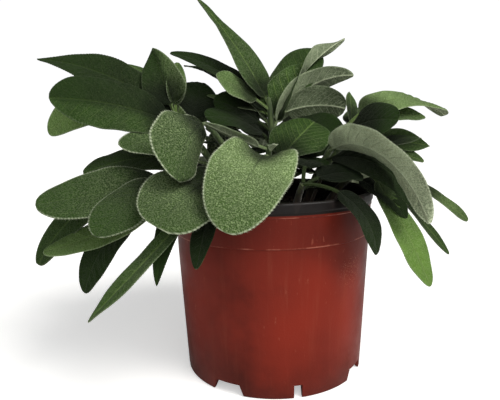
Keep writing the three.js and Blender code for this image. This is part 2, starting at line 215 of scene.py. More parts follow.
def newMaterial(name, **fixed):
    # a material with its constant sockets set; underscores stand for spaces
    material = bpy.data.materials.new(name)
    material.use_nodes = True
    shader = material.node_tree.nodes["Principled BSDF"]
    for key, value in fixed.items():
        shader.inputs[key.replace("_", " ")].default_value = value
    return material, material.node_tree, shader.inputs


def relief(tree, height, depth):
    # bump of a height between 0 and 1, its depth in metres
    made = tree.nodes.new("ShaderNodeBump")
    made.inputs["Strength"].default_value = 1
    made.inputs["Distance"].default_value = depth
    tree.links.new(height, made.inputs["Height"])
    return made.outputs["Normal"]


def wire(tree, shaderInputs, colour, rough, normal=None):
    for label, value in (("Base Color", colour), ("Roughness", rough), ("Normal", normal)):
        if value is not None:
            tree.links.new(value, shaderInputs[label])


# Grain that most materials take their wear, dust and patches from: noise between 0 and 1, which
# may be stretched along an axis
def makeGrain():
    group, ins, outs = newGroup(
        "grain", [("Place", "Vector"), ("Stretch", "Vector"), ("Scale", "Float"),
                  ("Detail", "Float"), ("Roughness", "Float")], [("Mask", "Float")])
    moved = add(group, "ShaderNodeVectorMath", ins["Place"], ins["Stretch"], operation="MULTIPLY")
    mask = add(group, "ShaderNodeTexNoise", moved, ins["Scale"], ins["Detail"], ins["Roughness"])
    group.links.new(mask, outs["Mask"])
    return group


grainGroup = makeGrain()


def grain(tree, place, scale, depth=2.0, rough=0.5, stretch=(1, 1, 1)):
    # the grain group in a material, scale in cells a metre
    return useGroup(tree, grainGroup, Place=place, Stretch=stretch, Scale=scale, Detail=depth,
                    Roughness=rough)["Mask"]


# Red plastic of the pot: washed streaks down the wall, dull, dark and bright patches, a painted
# highlight in soft upright bands, painted shade on the upper wall under the leaves, pale scuffs,
# a chalky line on each step of the wall, two scratched places, and the black band on top
chalkLines = [  # depth below the top of the lip and width, in mm
    (pot["band"] - 0.2, 0.6), (pot["lipHeight"] + pot["collar"], 0.45)]
scratches = [  # turn about the pot's axis, height and radius in mm, how fine and how dense
    (-44, 72, 12, 1300, 0.57), (-84, 93, 1.2, 400, 0.3)]
scratchForm = {"fade": 3, "core": 0.3, "contrast": 0.14, "strength": 0.75}
bandEdge = 0.3  # mm over which the red turns black


def makeRedPlastic():
    tones = {"deep": paint(72, 25, 17), "clear": paint(114, 38, 26), "bloom": paint(142, 78, 60),
             "soil": paint(50, 22, 16), "paintedHighlight": paint(150, 47, 29), "chalk": paint(172, 104, 86),
             "scratch": paint(206, 138, 116), "band": paint(30, 25, 23)}
    material, tree, inputs = newMaterial("red_plastic", IOR=1.46, Specular_IOR_Level=0.15)
    place = objectPlace(tree)
    height = parts(tree, place)[2]
    broad = grain(tree, place, 17, 4, 0.6)
    streaks = grain(tree, place, 240, 3, 0.6, (1, 1, 0.05))
    grime = grain(tree, place, 60, 5, 0.65)
    # painted highlight: soft upright bands of brighter red, where the wall would catch the light
    paintedHighlight = grain(tree, place, 24, 2, 0.5, (1, 1, 0.5))
    patch = ramp(tree, grain(tree, place, 30, 2), 0.5, 0.62)
    scuffs = ramp(tree, grain(tree, place, 420, 4, 0.7, (1, 1, 0.3)), 0.62, 0.72, 0, 0.6)
    low = ramp(tree, height, 0.045, 0.0, 0, 0.8)
    layers = [
        (ramp(tree, streaks, 0.52, 0.8, 0, 0.2), "bloom"),
        (ramp(tree, paintedHighlight, 0.4, 0.75, 0, 0.32), "paintedHighlight"),
        # painted shade: the wall darkens towards the top, where the leaves overhang it
        (ramp(tree, height, 0.066, 0.104, 0, 0.6), "deep"),
        (product(tree, low, grime), "soil"),
        (product(tree, scuffs, patch), "bloom")]
    worn = ramp(tree, grime, 0.42, 0.62)
    for depth, wide in chalkLines:
        off = maths(tree, "ABSOLUTE", maths(tree, "SUBTRACT", height, (pot["height"] - depth) * mm))
        line = ramp(tree, off, wide * mm, 0.2 * wide * mm, 0, 0.6)
        layers.append((product(tree, line, worn), "chalk"))
    for turn, level, wide, fine, dense in scratches:
        angle = math.radians(turn)
        spot = metres((pot["foot"] * math.cos(angle), pot["foot"] * math.sin(angle), level))
        off = add(tree, "ShaderNodeVectorMath", place, spot, operation="DISTANCE")
        reach = (wide + scratchForm["fade"]) * mm
        near = ramp(tree, off, reach, scratchForm["core"] * reach)
        marks = ramp(tree, grain(tree, place, fine, 3, 0.8), dense, dense + scratchForm["contrast"],
                     0, scratchForm["strength"])
        layers.append((product(tree, near, marks), "scratch"))
    band = (pot["height"] - pot["black"]) * mm
    layers.append((ramp(tree, height, band, band + bandEdge * mm), "band"))
    colour = blend(tree, ramp(tree, broad, 0.28, 0.6, 0.25, 1), tones["deep"], tones["clear"])
    colour = coat(tree, colour, tones, layers)
    rough = ramp(tree, grime, 0.2, 0.8, 0.36, 0.54)
    rough = maths(tree, "ADD", rough, ramp(tree, streaks, 0.5, 0.8, 0, 0.12))
    wire(tree, inputs, colour, rough, relief(tree, grain(tree, place, 900, 2), 0.00006))
    return material


# Black plastic of the lip and the inside, scuffed and dusty with soil
def makeBlackPlastic():
    tones = {"black": paint(24, 20, 19), "worn": paint(46, 39, 36), "dust": paint(56, 44, 35)}
    material, tree, inputs = newMaterial("black_plastic", IOR=1.46, Specular_IOR_Level=0.25)
    place = objectPlace(tree)
    scuff = grain(tree, place, 160, 4, 0.6, (1, 1, 0.4))
    dust = grain(tree, place, 38, 4, 0.6)
    colour = coat(tree, tones["black"], tones, [
        (ramp(tree, scuff, 0.5, 0.75, 0, 0.6), "worn"),
        (ramp(tree, dust, 0.52, 0.78, 0, 0.55), "dust")])
    rough = ramp(tree, scuff, 0.3, 0.8, 0.38, 0.6)
    wire(tree, inputs, colour, rough, relief(tree, scuff, 0.00008))
    return material


# Peat: dark crumbs, paler fibres and a damp sheen in places
def makePeat():
    tones = {"wet": paint(20, 16, 13), "dry": paint(50, 39, 30), "fibre": paint(88, 68, 48)}
    material, tree, inputs = newMaterial("peat", IOR=1.4, Specular_IOR_Level=0.3)
    place = objectPlace(tree)
    patch = grain(tree, place, 40, 3)
    crumb = grain(tree, place, 420, 5, 0.7)
    fibre = grain(tree, place, 260, 2, 0.5, (1, 0.15, 1))
    colour = coat(tree, tones["wet"], tones, [
        (ramp(tree, crumb, 0.35, 0.7), "dry"),
        (ramp(tree, patch, 0.3, 0.6, 0.5, 0), "wet"),
        (ramp(tree, fibre, 0.66, 0.74, 0, 0.6), "fibre")])
    rough = ramp(tree, patch, 0.35, 0.6, 0.62, 0.95)
    wire(tree, inputs, colour, rough, relief(tree, crumb, 0.0012))
    return material


# Vein and pebble pattern shared by both faces of a leaf. Place is mm across and along the blade and
# mm in from the margin; Vein counts the side veins. Each mask is 1 on its feature.
leafMarks = {"net": 0.42, "pebble": 1.15, "hairs": 2.1, "cloud": 0.065}  # cells to a mm
beadPitch = 1.75  # mm from one bead or tooth of a margin to the next


def makeLeafPattern():
    group, ins, outs = newGroup(
        "leaf_pattern", [("Place", "Vector"), ("Vein", "Float"), ("Seed", "Float")],
        [(label, "Float") for label in ("Veins", "Net", "Pebble", "Midrib", "Base", "Margin",
                                        "Beads", "Hairs", "Cloud")])
    amount, ranged = partial(product, group), partial(ramp, group)
    across, along, inset = parts(group, ins["Place"])[:3]
    flat = add(group, "ShaderNodeCombineXYZ", across, along, ins["Seed"])

    def flecks(scale, rough):
        return add(group, "ShaderNodeTexNoise", flat, scale, 3.0, rough)

    net = group.nodes.new("ShaderNodeTexVoronoi")
    net.feature = "DISTANCE_TO_EDGE"
    net.inputs["Scale"].default_value = leafMarks["net"]
    group.links.new(flat, net.inputs["Vector"])
    ridge = maths(group, "PINGPONG", ins["Vein"], 0.5)
    beads = maths(group, "PINGPONG", along, beadPitch / 2)
    squared = maths(group, "ADD", amount(across, across), amount(along, along))
    masks = {
        "Veins": amount(ranged(ridge, 0.1, 0.01), ranged(inset, 0.8, 5)),
        "Net": ranged(net.outputs["Distance"], 0.12, 0.02),
        "Pebble": ranged(flecks(leafMarks["pebble"], 0.65), 0.42, 0.6),
        "Midrib": ranged(maths(group, "ABSOLUTE", across), 0.95, 0.25),
        # Base is painted shade: 1 within 7 mm of the stalk, gone by 25 mm, where the leaves shade
        # each other
        "Base": ranged(maths(group, "SQRT", squared), 25, 7),
        "Margin": ranged(inset, 1.1, 0.35),
        "Beads": ranged(beads, 0.15, 0.6, 0.35, 1),
        "Hairs": flecks(leafMarks["hairs"], 0.7),
        "Cloud": flecks(leafMarks["cloud"], 0.6)}
    for label, mask in masks.items():
        group.links.new(mask, outs[label])
    return group


# Sage leaf: dark, pebbled and velvety above, paler with raised veins below. The nap runs from a
# smooth leaf at 0, on which the veins show, to a felted one with a beaded white margin at 1.
def makeLeaf(pattern):
    tones = {"dark": paint(18, 25, 14), "green": paint(46, 72, 24), "pale": paint(118, 148, 83),
             "fresh": paint(84, 118, 36), "gap": paint(34, 52, 24), "hair": paint(186, 206, 152),
             "vein": paint(112, 140, 68), "rib": paint(104, 128, 66),
             "margin": paint(206, 216, 184), "under": paint(196, 212, 170),
             "underDeep": paint(38, 52, 28), "underVein": paint(192, 202, 168)}
    material, tree, inputs = newMaterial(
        "sage_leaf", Sheen_Weight=0.06, Sheen_Roughness=0.4, Sheen_Tint=(0.86, 0.95, 0.76, 1),
        IOR=1.4, Specular_IOR_Level=0.12)
    amount, ranged = partial(product, tree), partial(ramp, tree)
    # the third value is the leaf's tone: its own colour together with painted shade
    share, upper, toneAndShade = parts(tree, attribute(tree, "leafCast", "Vector"))[:3]
    # painted light: one half of some blades is lightened, as if lit from that side
    tone = maths(tree, "ADD", toneAndShade, attribute(tree, "leafLitSide"))
    nap = attribute(tree, "leafNap")
    masks = useGroup(tree, pattern, Place=attribute(tree, "leafPlace", "Vector"),
                     Vein=attribute(tree, "leafVein"), Seed=maths(tree, "MULTIPLY", toneAndShade, 90))
    veins, midrib, pebble, hairs = map(masks.get, ("Veins", "Midrib", "Pebble", "Hairs"))
    gaps, smooth = opposite(tree, pebble), opposite(tree, nap)
    dull = opposite(tree, ranged(masks["Cloud"], 0.35, 0.65))
    fresh = ranged(tone, 0.84, 0.95)
    shown = ranged(tone, 0.05, 0.5, 0.04, 1)  # veins and bristles fade on a dark leaf, whose darkness is partly its own and partly painted shade
    drawn = ranged(tone, 0.2, 0.8, 0.45, 1)  # and less so on its underside
    tipward = ranged(share, 0.25, 0.95)  # the felt wears thin at the tip
    lit = amount(ranged(tone, 0.0, 0.8, 0.03, 0.48), opposite(tree, amount(tipward, 0.45)))
    # painted shade: on a felted leaf the midrib's furrow is darkened, most near the base
    furrow = amount(midrib, ranged(nap, 0.5, 0.9), ranged(share, 0.7, 0.1))
    felt = ranged(nap, 0.5, 0.8)

    # upper face from dark to green by tone, whose dark end is partly painted shade
    top = blend(tree, ranged(tone, 0.0, 0.5), tones["dark"], tones["green"])
    top = coat(tree, top, tones, [
        (ranged(tone, 0.45, 0.85), "pale"),
        (amount(fresh, 0.85), "fresh"),
        # painted shade: fresh leaves darkened to green towards their base
        (amount(fresh, ranged(share, 0.62, 0.16), 0.85), "green"),
        (amount(dull, ranged(tone, 0.5, 0.85, 0.42, 0.2)), "dark"),
        (amount(midrib, shown, ranged(nap, 0.5, 0.9, 0.55, 0)), "rib"),
        (amount(veins, smooth, smooth, smooth, shown, 0.5), "vein"),
        (amount(gaps, nap, 0.42), "gap"),
        (amount(tipward, nap, 0.85), "green"),
        (amount(pebble, nap, lit), "hair"),
        (amount(furrow, 0.5), "gap"),
        (amount(ranged(hairs, 0.48, 0.68), lit, 0.9), "hair"),
        # painted shade: the blade darkened around its stalk
        (amount(masks["Base"], 0.85), "dark")])
    # underside from deep to pale by the same tone, painted shade included
    low = blend(tree, ranged(tone, 0.12, 0.92), tones["underDeep"], tones["under"])
    low = coat(tree, low, tones, [
        (amount(tipward, 0.55), "underDeep"),
        (amount(dull, 0.35), "underDeep"),
        (amount(masks["Net"], drawn, 0.25), "underVein"),
        (amount(gaps, felt, 0.3), "underDeep"),
        (amount(pebble, felt, 0.35), "underVein"),
        (amount(ranged(hairs, 0.5, 0.72), ranged(nap, 0.3, 0.8, 0.35, 0.7)), "underVein"),
        (amount(veins, drawn, ranged(nap, 0.3, 0.8, 0.6, 0.12)), "underVein"),
        (amount(midrib, drawn, ranged(nap, 0.3, 0.8, 1, 0.4)), "underVein")])
    bristles = amount(masks["Margin"], masks["Beads"], shown, ranged(nap, 0.3, 0.9, 0.1, 0.7))
    stalk = amount(ranged(share, 0.02, -0.02), ranged(tone, 0, 0.8, 0.1, 0.6))
    colour = blend(tree, upper, low, top)
    colour = coat(tree, colour, tones, [(bristles, "margin"), (stalk, "rib")])

    sunk = maths(tree, "MAXIMUM", veins, midrib)
    topHeight = maths(tree, "SUBTRACT", amount(pebble, ranged(nap, 0, 1, 0.35, 1.3)), sunk)
    lowHeight = maths(tree, "ADD", sunk, amount(masks["Net"], 0.5))
    height = add(tree, "ShaderNodeMix", upper, lowHeight, topHeight, data_type="FLOAT")
    height = maths(tree, "ADD", height, amount(hairs, 0.4))
    wire(tree, inputs, colour, ranged(hairs, 0.3, 0.8, 0.6, 0.8), relief(tree, height, 0.00035))
    return material


# Square young stems, green and downy above and woody brown near the soil
def makeBark():
    tones = {"green": paint(48, 64, 28), "down": paint(82, 98, 56), "wood": paint(60, 46, 32),
             "crack": paint(28, 22, 16)}
    material, tree, inputs = newMaterial("sage_stem", Sheen_Weight=0.2, Sheen_Roughness=0.5)
    place = objectPlace(tree)
    height = parts(tree, place)[2]
    fibre = grain(tree, place, 600, 4, 0.6, (1, 1, 0.2))
    woody = ramp(tree, maths(tree, "ADD", height, product(tree, fibre, 0.012)), 0.138, 0.116)
    green = blend(tree, ramp(tree, fibre, 0.4, 0.7), tones["green"], tones["down"])
    wood = blend(tree, ramp(tree, fibre, 0.3, 0.6), tones["crack"], tones["wood"])
    colour = blend(tree, woody, green, wood)
    rough = ramp(tree, fibre, 0.3, 0.8, 0.7, 0.9)
    wire(tree, inputs, colour, rough, relief(tree, fibre, 0.0003))
    return material


# Bristles along the margins of the felted leaves
def makeHair():
    tones = {"shaded": paint(150, 164, 122), "bright": paint(214, 222, 196)}
    material, tree, inputs = newMaterial("sage_hair", Sheen_Weight=0.3, Specular_IOR_Level=0.3)
    tone = grain(tree, objectPlace(tree), 900, 2)
    colour = blend(tree, ramp(tree, tone, 0.3, 0.7), tones["shaded"], tones["bright"])
    wire(tree, inputs, colour, ramp(tree, tone, 0.3, 0.7, 0.5, 0.7))
    return material


# Pale floor, lifted a little in view so that it runs into the backdrop; half its width in metres
floor = {"across": 6, "below": 0.0002, "lift": 0.45}


def makeFloorPaint():
    tones = {"pale": paint(246, 246, 245), "paler": paint(251, 251, 250)}
    material, tree, inputs = newMaterial("floor", Specular_IOR_Level=0.2)
    tone = grain(tree, objectPlace(tree), 6, 2)
    colour = blend(tree, tone, tones["pale"], tones["paler"])
    wire(tree, inputs, colour, ramp(tree, tone, 0, 1, 0.7, 0.85))
    inView = tree.nodes.new("ShaderNodeLightPath").outputs["Is Camera Ray"]
    tree.links.new(product(tree, inView, floor["lift"]), inputs["Emission Strength"])
    inputs["Emission Color"].default_value = (1, 1, 1, 1)
    return material


redPlastic, blackPlastic, peat = makeRedPlastic(), makeBlackPlastic(), makePeat()
leafMaterial, bark, hair = makeLeaf(makeLeafPattern()), makeBark(), makeHair()
print("materials made")


# Mesh helpers
def finish(name, bm, materials, node=None):
    # the bmesh becomes a smooth piece that stands for a node of the CAD
    bmesh.ops.recalc_face_normals(bm, faces=bm.faces)
    mesh = bpy.data.meshes.new(name)
    bm.to_mesh(mesh)
    bm.free()
    for material in materials:
        mesh.materials.append(material)
    mesh.polygons.foreach_set("use_smooth", [True] * len(mesh.polygons))
    piece = bpy.data.objects.new(name, mesh)
    scene.collection.objects.link(piece)
    if node:
        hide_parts(node)
        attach(piece, "root")
    print(name, len(mesh.polygons), "faces")
    return piece


def arc(middle, radius, start, end, steps):
    # points of an arc of a profile, angles from +X towards +Z
    turns = [math.radians(start + (end - start) * step / steps) for step in range(steps + 1)]
    return [(middle[0] + radius * math.cos(a), middle[1] + radius * math.sin(a)) for a in turns]


def turnProfile(bm, profile, steps):
    # the profile spun about the pot's axis, closed where it meets the axis
    verts = [bm.verts.new(metres((radius, 0, height))) for radius, height in profile]
    edges = [bm.edges.new(pair) for pair in zip(verts, verts[1:])]
    bmesh.ops.spin(bm, geom=verts + edges, cent=potAxis, axis=(0, 0, 1), angle=2 * math.pi,
                   steps=steps, use_merge=True)
    bmesh.ops.remove_doubles(bm, verts=bm.verts, dist=1e-6)


def makeFloor():
    bm = bmesh.new()
    bmesh.ops.create_grid(bm, x_segments=2, y_segments=2, size=floor["across"])
    bmesh.ops.translate(bm, verts=bm.verts, vec=(0, 0, -floor["below"]))
    finish("floor", bm, [makeFloorPaint()])


def wallRadius(height):
    return pot["foot"] + (pot["neck"] - pot["foot"]) * height / (pot["height"] - pot["lipHeight"])


def potProfile():
    top, neck = pot["height"], pot["height"] - pot["lipHeight"]
    collar, band, inner = neck - pot["collar"], top - pot["band"], pot["foot"] - pot["wall"]
    floorTop = pot["ring"] + pot["floor"]
    lip, edge, roll, step = pot["lip"], pot["edge"], pot["lipRound"], pot["step"]
    ringRound, edgeRound, lipUnder = pot["ringRound"], pot["edgeRound"], pot["lipUnder"]
    return [
        (0, pot["ring"]), (inner - 9, pot["ring"]),  # under the floor
        *arc((inner - 4, pot["ring"] - ringRound), ringRound, 90, 0, 4), (inner - edge, edge),
        *arc((inner + 0.2, edgeRound), edgeRound, 200, 270, 3),  # edge that the pot stands on
        *arc((pot["foot"] - edgeRound, edgeRound), edgeRound, 270, 350, 3),
        *[(wallRadius(z), z) for z in pot["wallRows"]],
        (wallRadius(band) - step, band - 0.8), (wallRadius(band) - step, band - 0.3),  # lower step
        (wallRadius(band), band), (wallRadius(100), 100),
        (wallRadius(collar), collar - 0.5), (wallRadius(collar) + step, collar),  # collar
        (pot["neck"] + step, neck - 0.1), (pot["neck"] + step + 0.1, neck),
        *arc((lip - lipUnder, neck + 1.3), lipUnder, 300, 360, 4),  # lip
        *arc((lip - roll, top - roll), roll, 0, 180, 12), (lip - 2 * roll - 0.1, neck),
        *[(wallRadius(z) - pot["wall"], z) for z in pot["liningRows"]],
        *arc((wallRadius(floorTop) - pot["wall"] - pot["round"], floorTop + pot["round"]),
             pot["round"], 0, -90, 5),
        (0, floorTop)]


def addNotch(bm, turn, footWidth, topWidth, height):
    # a tapered block that passes through the foot ring, its top upwards
    made = bmesh.ops.create_cube(bm, size=1)["verts"]
    for vert in made:
        width = topWidth if vert.co.z > 0 else footWidth
        vert.co = Vector((vert.co.x * width,
                          vert.co.y * notchBlock["reach"] - pot["foot"] + notchBlock["inward"],
                          height if vert.co.z > 0 else -notchBlock["below"]))
    bmesh.ops.rotate(bm, verts=made, matrix=Matrix.Rotation(math.radians(turn), 3, "Z"))


def addDrain(bm, turn):
    made = bmesh.ops.create_cone(bm, cap_ends=True, segments=drain["sides"], depth=drain["depth"],
                                 radius1=drain["radius"], radius2=drain["radius"])["verts"]
    spot = Vector((drain["circle"], 0, drain["middle"]))
    bmesh.ops.translate(bm, verts=made, vec=Matrix.Rotation(math.radians(turn), 3, "Z") @ spot)


def makePot():
    bm = bmesh.new()
    turnProfile(bm, potProfile(), int(pot["steps"] * detail))
    cutters = bmesh.new()
    for quarter in range(4):
        for turn, footWidth, topWidth, height in notches.values():
            addNotch(cutters, turn + 90 * quarter, footWidth, topWidth, height)
        addDrain(cutters, 90 * quarter)
    for vert in cutters.verts:
        vert.co = metres(vert.co)
    cutter = finish("cutter", cutters, [])
    piece = finish("nursery_pot", bm, [redPlastic, blackPlastic], "pot")
    cut = piece.modifiers.new("cut", "BOOLEAN")
    cut.operation, cut.solver, cut.object = "DIFFERENCE", "EXACT", cutter
    whole = piece.evaluated_get(bpy.context.evaluated_depsgraph_get())
    mesh = bpy.data.meshes.new_from_object(whole)
    piece.modifiers.clear()
    piece.data = mesh
    bpy.data.objects.remove(cutter)
    slack = 0.2  # so that faces right at a limit are on its far side
    floorTop, neck = pot["ring"] + pot["floor"], pot["height"] - pot["lipHeight"]
    for face in mesh.polygons:
        middle = (face.center - potAxis) / mm
        out, up = math.hypot(middle.x, middle.y), middle.z
        lining = up > floorTop - slack and out < wallRadius(up) - pot["wall"] / 2
        face.material_index = 1 if lining or up > neck - slack else 0
        face.use_smooth = True
    mesh.set_sharp_from_angle(angle=math.radians(32))


# Soil: a lumpy bed of peat with loose crumbs on it, small ones and a few large ones
soil = {"level": 102, "gap": 0.4, "shoulder": 3, "foot": 2, "rings": 56, "steps": 200,
        "lump": 2.2, "lumpScale": 0.16, "sink": 1, "highest": 2.5,
        "crumbs": 420, "small": (0.7, 1.5), "large": (1.6, 2.8), "smallShare": 0.85,
        "squash": ((0.7, 1.5), (0.5, 1), (0.5, 0.8)), "knobs": 0.35, "seed": 5}


def makeSoil():
    bm = bmesh.new()
    foot = pot["ring"] + pot["floor"] + soil["gap"]
    rim = wallRadius(soil["level"]) - pot["wall"] - soil["gap"]
    base = wallRadius(foot) - pot["wall"] - soil["gap"]
    rings = int(soil["rings"] * detail)
    top = [(rim * (1 - ring / rings), soil["level"]) for ring in range(rings + 1)]
    turnProfile(bm, [(0, foot), (base - soil["foot"], foot), (base, foot + soil["foot"]),
                     (rim, soil["level"] - soil["shoulder"]), *top], int(soil["steps"] * detail))
    for vert in bm.verts:
        spot = (vert.co - potAxis) / mm
        if spot.z > soil["level"] - 1:
            rough = noise.fractal(spot * soil["lumpScale"], 0.6, 2.2, 5)
            vert.co.z += min(soil["lump"] * rough - soil["sink"], soil["highest"]) * mm
    draw = random.Random(soil["seed"])
    for crumb in range(soil["crumbs"]):
        out, turn = (rim - 2) * math.sqrt(draw.random()), draw.random() * 2 * math.pi
        sizes = soil["small"] if draw.random() < soil["smallShare"] else soil["large"]
        size = draw.uniform(*sizes)
        made = bmesh.ops.create_icosphere(bm, subdivisions=2, radius=size * mm)["verts"]
        spin = Quaternion((draw.random(), draw.random(), draw.random()), draw.uniform(0, 6))
        squash = Matrix.Diagonal([draw.uniform(*limits) for limits in soil["squash"]])
        place = metres((out * math.cos(turn), out * math.sin(turn), soil["level"] + 0.2 * size))
        for vert in made:
            bulge = 1 + soil["knobs"] * noise.noise(vert.co / mm * 0.9 + Vector((crumb, 0, 0)))
            vert.co = place + spin.to_matrix() @ (squash @ (vert.co * bulge))
    finish("peat_soil", bm, [peat], "soil")


makeFloor()
makePot()
makeSoil()


# Leafy stems. fold lifts both halves of a blade from the midrib and curl turns its edges down as a
# share of the width. stalk is the bare petiole in mm, point runs from a blunt tip at 0 to a long
# acute one at 1.2, and widest is where along the blade it is widest. teeth is how deep its margin
# is cut in mm, and nap how pebbled and bristled it is, from 0 to 1. late holds the leaf's twist
# back towards its tip, and lobe is how far its base reaches back.
kindLabels = ("fold", "curl", "stalk", "point", "widest", "teeth", "nap", "late", "lobe")
leafKinds = {
    "heart": [20, 0.22, 22, 0.15, 0.36, 0.34, 1, 1, 15],
    "hood": [-22, 0.1, 10, 0.1, 0.42, 0.3, 0.95, 1, 0],
    "shield": [8, 0.12, 8, 0.05, 0.4, 0.34, 0.95, 1, 4],
    "oval": [10, 0.15, 12, 0.1, 0.46, 0.16, 0.5, 1, 0],
    "strap": [7, 0.1, 14, 0, 0.5, 0.2, 0.45, 1, 0],
    "keel": [30, 0.08, 8, 0.6, 0.2, 0.2, 0.65, 1, 0],
    "furl": [42, 0.06, 6, 0.9, 0.15, 0.14, 0.05, 2.5, 0],
    "spear": [14, 0.06, 6, 1, 0.2, 0.16, 0.3, 1, 0],
    "wand": [10, 0.05, 20, 0.7, 0.65, 0.34, 0.3, 1, 0],
    "dart": [14, 0.08, 12, 1, 0.55, 0.5, 0.3, 1, 0],
    "paddle": [8, 0.08, 22, 0.2, 0.45, 0.16, 0.25, 1, 0],
    "slim": [12, 0.06, 8, 0.6, 0.45, 0.14, 0.3, 1, 0],
    "stalked": [8, 0.05, 60, 0.1, 0.6, 0.12, 0.3, 1, 0],
    "young": [24, 0.04, 3, 0.4, 0.42, 0.1, 0.7, 1, 0],
}
